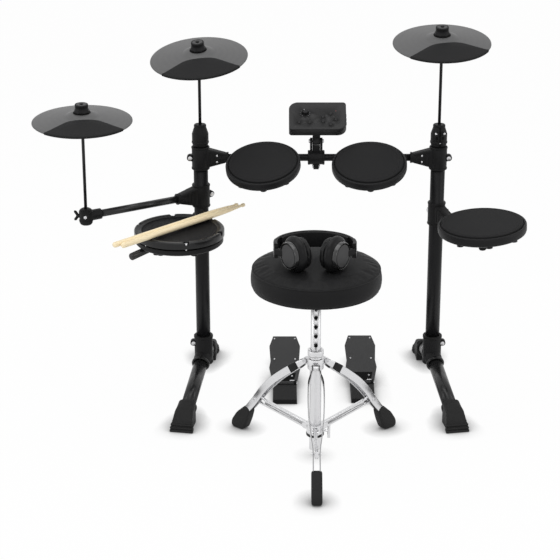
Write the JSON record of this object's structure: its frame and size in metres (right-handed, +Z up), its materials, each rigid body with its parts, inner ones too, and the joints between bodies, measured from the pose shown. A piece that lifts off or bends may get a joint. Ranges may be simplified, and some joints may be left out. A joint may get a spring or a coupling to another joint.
{
  "type": "electronic drum kit",
  "caption": "Compact electronic drum kit on a tube rack, with cymbal and drum pads, a tilting sound module, foot pedals, a folding stool, headphones and sticks.",
  "frame": {"origin": "on the floor, at the centre of the whole kit's footprint box", "axes": "+X to the player's right, +Y away from the player towards the back of the kit, +Z up"},
  "size_m": [1.2565, 0.9656, 1.0271],
  "materials": {
    "black_steel_tube": "satin",
    "black_plastic": "fine moulded grain",
    "pad_shell": "satin",
    "module_plastic": "satin",
    "button_rubber": "satin",
    "pad_rubber": "matte",
    "foot_rubber": "matte",
    "mesh_fabric": "woven mesh",
    "bright_steel": "brushed",
    "throne_chrome": "polished",
    "seat_vinyl": "soft grain",
    "headphone_plastic": "satin",
    "stick_wood": "clear lacquer"
  },
  "bodies": {
    "rack": {"posts": "black_steel_tube", "crossbar": "black_steel_tube", "bar_clamps": "black_plastic", "rod_sockets": "black_plastic", "foot_clamps": "black_plastic", "leg_tubes": "black_steel_tube", "leg_boots": "foot_rubber", "pedal_bases": "pad_shell"},
    "hihat_arm": {"hihat_arm_clamp": "black_plastic", "hihat_arm_tube": "black_steel_tube", "hihat_rod_clamp": "black_plastic"},
    "hihat_stem": {"hihat_rod": "black_steel_tube"},
    "hihat_head": {"hihat_tilter": "black_plastic", "hihat_cymbal": "pad_rubber"},
    "crash_stem": {"crash_rod": "black_steel_tube"},
    "crash_head": {"crash_tilter": "black_plastic", "crash_cymbal": "pad_rubber"},
    "ride_stem": {"ride_rod": "black_steel_tube"},
    "ride_head": {"ride_tilter": "black_plastic", "ride_cymbal": "pad_rubber"},
    "snare_arm": {"snare_arm_clamp": "black_plastic", "snare_arm_tube": "black_steel_tube"},
    "snare_pad": {"snare_shell": "pad_shell", "snare_hoop": "pad_shell", "snare_mesh_head": "mesh_fabric", "snare_lugs": "bright_steel"},
    "sticks": {"drumsticks": "stick_wood"},
    "floor_tom_arm": {"floor_tom_arm_clamp": "black_plastic", "floor_tom_arm_tube": "black_steel_tube"},
    "floor_tom_pad": {"floor_tom_shell": "pad_shell", "floor_tom_rubber": "pad_rubber"},
    "left_tom_pad": {"left_tom_shell": "pad_shell", "left_tom_rubber": "pad_rubber"},
    "right_tom_pad": {"right_tom_shell": "pad_shell", "right_tom_rubber": "pad_rubber"},
    "module": {"module_case": "module_plastic", "jack_panel": "module_plastic"},
    "knob": {"volume_knob": "module_plastic"},
    "left_pedal": {"left_pedal_board": "pad_shell"},
    "right_pedal": {"right_pedal_board": "pad_shell"},
    "throne": {"tripod_tube": "throne_chrome"},
    "lower_collar": {"brace_collar": "throne_chrome"},
    "seat_stem": {"seat_post": "throne_chrome"},
    "seat": {"seat_plate": "black_steel_tube", "seat_cushion": "seat_vinyl"},
    "headset": {"headphones": "headphone_plastic", "ear_cushions": "seat_vinyl"},
    "button_left_key": {"button_left": "button_rubber"},
    "button_middle_key": {"button_middle": "button_rubber"},
    "button_up_key": {"button_up": "button_rubber"},
    "button_down_key": {"button_down": "button_rubber"},
    "button_far_key": {"button_far": "button_rubber"},
    "button_right_key": {"button_right": "button_rubber"},
    "button_near_key": {"button_near": "button_rubber"},
    "leg_front": {"throne_leg_front": "throne_chrome"},
    "brace_front": {"throne_brace_front": "throne_chrome"},
    "leg_left": {"throne_leg_left": "throne_chrome"},
    "brace_left": {"throne_brace_left": "throne_chrome"},
    "leg_right": {"throne_leg_right": "throne_chrome"},
    "brace_right": {"throne_brace_right": "throne_chrome"}
  },
  "joints": [
    {"name": "hihat_swivel", "type": "hinge", "parent": "rack", "child": "hihat_arm", "pos_m": [-0.21241, 0.20218, 0.568], "axis": [0, 0, 1], "range_deg": [-40, 10]},
    {"name": "hihat_rise", "type": "slide", "parent": "hihat_arm", "child": "hihat_stem", "axis": [0, 0, 1], "range_m": [-0.08, 0]},
    {"name": "crash_rise", "type": "slide", "parent": "rack", "child": "crash_stem", "axis": [0, 0, 1], "range_m": [-0.05, 0.05]},
    {"name": "ride_rise", "type": "slide", "parent": "rack", "child": "ride_stem", "axis": [0, 0, 1], "range_m": [-0.05, 0.05]},
    {"name": "hihat_tilt", "type": "hinge", "parent": "hihat_stem", "child": "hihat_head", "pos_m": [-0.50128, 0.02861, 0.82], "axis": [1, 0, 0], "range_deg": [-10, 10]},
    {"name": "crash_tilt", "type": "hinge", "parent": "crash_stem", "child": "crash_head", "pos_m": [-0.21241, 0.20218, 0.94], "axis": [0.9976, 0, 0.0698], "range_deg": [-10, 10]},
    {"name": "ride_tilt", "type": "hinge", "parent": "ride_stem", "child": "ride_head", "pos_m": [0.41459, 0.20218, 0.979], "axis": [0.9998, 0, 0.0175], "range_deg": [-10, 10]},
    {"name": "snare_swivel", "type": "hinge", "parent": "rack", "child": "snare_arm", "pos_m": [-0.21241, 0.20218, 0.4845], "axis": [0, 0, 1], "range_deg": [-6, 20]},
    {"name": "snare_tilt", "type": "hinge", "parent": "snare_arm", "child": "snare_pad", "pos_m": [-0.31306, 0.05295, 0.4845], "axis": [-0.5592, -0.829, 0], "range_deg": [-8, 8]},
    {"name": "sticks_lift", "type": "slide", "parent": "snare_pad", "child": "sticks", "axis": [-0.484, -0.5155, 0.7071], "range_m": [0, 0.25]},
    {"name": "floor_tom_swivel", "type": "hinge", "parent": "rack", "child": "floor_tom_arm", "pos_m": [0.41459, 0.20218, 0.518], "axis": [0, 0, 1], "range_deg": [-25, 30]},
    {"name": "floor_tom_tilt", "type": "hinge", "parent": "floor_tom_arm", "child": "floor_tom_pad", "pos_m": [0.51649, 0.00046, 0.518], "axis": [0.4509, -0.8926, 0], "range_deg": [-8, 8]},
    {"name": "left_tom_tilt", "type": "hinge", "parent": "rack", "child": "left_tom_pad", "pos_m": [-0.04541, 0.20218, 0.672], "axis": [1, 0, 0], "range_deg": [-15, 20]},
    {"name": "right_tom_tilt", "type": "hinge", "parent": "rack", "child": "right_tom_pad", "pos_m": [0.22959, 0.20218, 0.672], "axis": [1, 0, 0], "range_deg": [-15, 20]},
    {"name": "module_tilt", "type": "hinge", "parent": "rack", "child": "module", "pos_m": [0.09259, 0.20218, 0.717], "axis": [1, 0, 0], "range_deg": [-25, 30]},
    {"name": "volume_turn", "type": "hinge", "parent": "module", "child": "knob", "pos_m": [0.06309, 0.20879, 0.79143], "axis": [0, -0.515, 0.8572], "range_deg": [-150, 150]},
    {"name": "button_left_press", "type": "slide", "parent": "module", "child": "button_left_key", "axis": [0, 0.515, -0.8572], "range_m": [0, 0.0012], "stiffness_N_per_m": 300, "springref_m": -0.001},
    {"name": "button_middle_press", "type": "slide", "parent": "module", "child": "button_middle_key", "axis": [0, 0.515, -0.8572], "range_m": [0, 0.0012], "stiffness_N_per_m": 300, "springref_m": -0.001},
    {"name": "button_up_press", "type": "slide", "parent": "module", "child": "button_up_key", "axis": [0, 0.515, -0.8572], "range_m": [0, 0.0012], "stiffness_N_per_m": 300, "springref_m": -0.001},
    {"name": "button_down_press", "type": "slide", "parent": "module", "child": "button_down_key", "axis": [0, 0.515, -0.8572], "range_m": [0, 0.0012], "stiffness_N_per_m": 300, "springref_m": -0.001},
    {"name": "button_far_press", "type": "slide", "parent": "module", "child": "button_far_key", "axis": [0, 0.515, -0.8572], "range_m": [0, 0.0012], "stiffness_N_per_m": 300, "springref_m": -0.001},
    {"name": "button_right_press", "type": "slide", "parent": "module", "child": "button_right_key", "axis": [0, 0.515, -0.8572], "range_m": [0, 0.0012], "stiffness_N_per_m": 300, "springref_m": -0.001},
    {"name": "button_near_press", "type": "slide", "parent": "module", "child": "button_near_key", "axis": [0, 0.515, -0.8572], "range_m": [0, 0.0012], "stiffness_N_per_m": 300, "springref_m": -0.001},
    {"name": "left_pedal_press", "type": "hinge", "parent": "rack", "child": "left_pedal", "pos_m": [0.01059, 0.21018, 0.016], "axis": [-1, 0, 0], "range_deg": [0, 7], "stiffness_Nm_per_rad": 8, "springref_deg": -5.73},
    {"name": "right_pedal_press", "type": "hinge", "parent": "rack", "child": "right_pedal", "pos_m": [0.22459, 0.21718, 0.016], "axis": [-1, 0, 0], "range_deg": [0, 7], "stiffness_Nm_per_rad": 8, "springref_deg": -5.73},
    {"name": "throne_glide", "type": "slide", "parent": "rack", "child": "throne", "axis": [0, -1, 0], "range_m": [0, 0.4]},
    {"name": "tripod_fold", "type": "hinge", "parent": "throne", "child": "leg_front", "pos_m": [0.08659, -0.23282, 0.258], "axis": [1, 0, 0], "range_deg": [0, 20]},
    {"name": "leg_left_fold", "type": "hinge", "parent": "throne", "child": "leg_left", "pos_m": [0.06395, -0.18314, 0.258], "axis": [-0.6561, -0.7547, 0], "range_deg": [0, 20]},
    {"name": "leg_right_fold", "type": "hinge", "parent": "throne", "child": "leg_right", "pos_m": [0.10923, -0.18314, 0.258], "axis": [-0.6561, 0.7547, 0], "range_deg": [0, 20]},
    {"name": "lower_collar_rise", "type": "slide", "parent": "throne", "child": "lower_collar", "axis": [0, 0, 1], "range_m": [0, 0.10001]},
    {"name": "brace_front_fold", "type": "hinge", "parent": "lower_collar", "child": "brace_front", "pos_m": [0.08659, -0.23282, 0.078], "axis": [1, 0, 0], "range_deg": [0, 58.46]},
    {"name": "brace_left_fold", "type": "hinge", "parent": "lower_collar", "child": "brace_left", "pos_m": [0.06395, -0.18314, 0.078], "axis": [-0.6561, -0.7547, 0], "range_deg": [0, 58.46]},
    {"name": "brace_right_fold", "type": "hinge", "parent": "lower_collar", "child": "brace_right", "pos_m": [0.10923, -0.18314, 0.078], "axis": [-0.6561, 0.7547, 0], "range_deg": [0, 58.46]},
    {"name": "seat_rise", "type": "slide", "parent": "throne", "child": "seat_stem", "axis": [0, 0, 1], "range_m": [0, 0.1]},
    {"name": "seat_spin", "type": "hinge", "parent": "seat_stem", "child": "seat", "pos_m": [0.08659, -0.20282, 0.46], "axis": [0, 0, 1], "continuous": true},
    {"name": "headphones_lift", "type": "slide", "parent": "seat", "child": "headset", "axis": [0, 0, 1], "range_m": [0, 0.3]}
  ],
  "couplings": [
    {"joint": "leg_left_fold", "follows": "tripod_fold", "ratio": 1},
    {"joint": "leg_right_fold", "follows": "tripod_fold", "ratio": 1},
    {"joint": "lower_collar_rise", "follows": "tripod_fold", "m_per_rad": 0.28648},
    {"joint": "brace_front_fold", "follows": "tripod_fold", "ratio": 2.9219},
    {"joint": "brace_left_fold", "follows": "tripod_fold", "ratio": 2.9219},
    {"joint": "brace_right_fold", "follows": "tripod_fold", "ratio": 2.9219}
  ]
}
